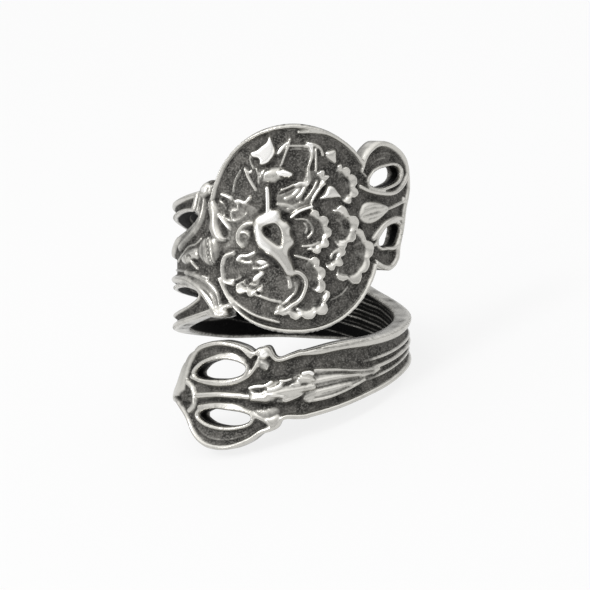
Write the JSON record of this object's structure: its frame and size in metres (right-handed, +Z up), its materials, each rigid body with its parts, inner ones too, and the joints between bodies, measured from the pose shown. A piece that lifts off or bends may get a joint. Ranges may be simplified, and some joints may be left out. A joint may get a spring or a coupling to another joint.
{
  "type": "spoon ring",
  "caption": "Wrap-around finger ring made from a spoon handle, with pierced ends, a ribbed shank and a round flower medallion.",
  "frame": {"origin": "on the floor, under the middle of the ring's box, with the ring resting on its side", "axes": "+Z up; the medallion faces -Y and leans back; +X is to the viewer's right, where the upper end of the strip lies"},
  "size_m": [0.0258, 0.0236, 0.0253],
  "materials": {
    "oxidised_silver": "cast silver, darkened and grainy in the recesses, rubbed bright on the raised edges"
  },
  "bodies": {
    "root": {"spoon_ring": "oxidised_silver"}
  },
  "joints": []
}
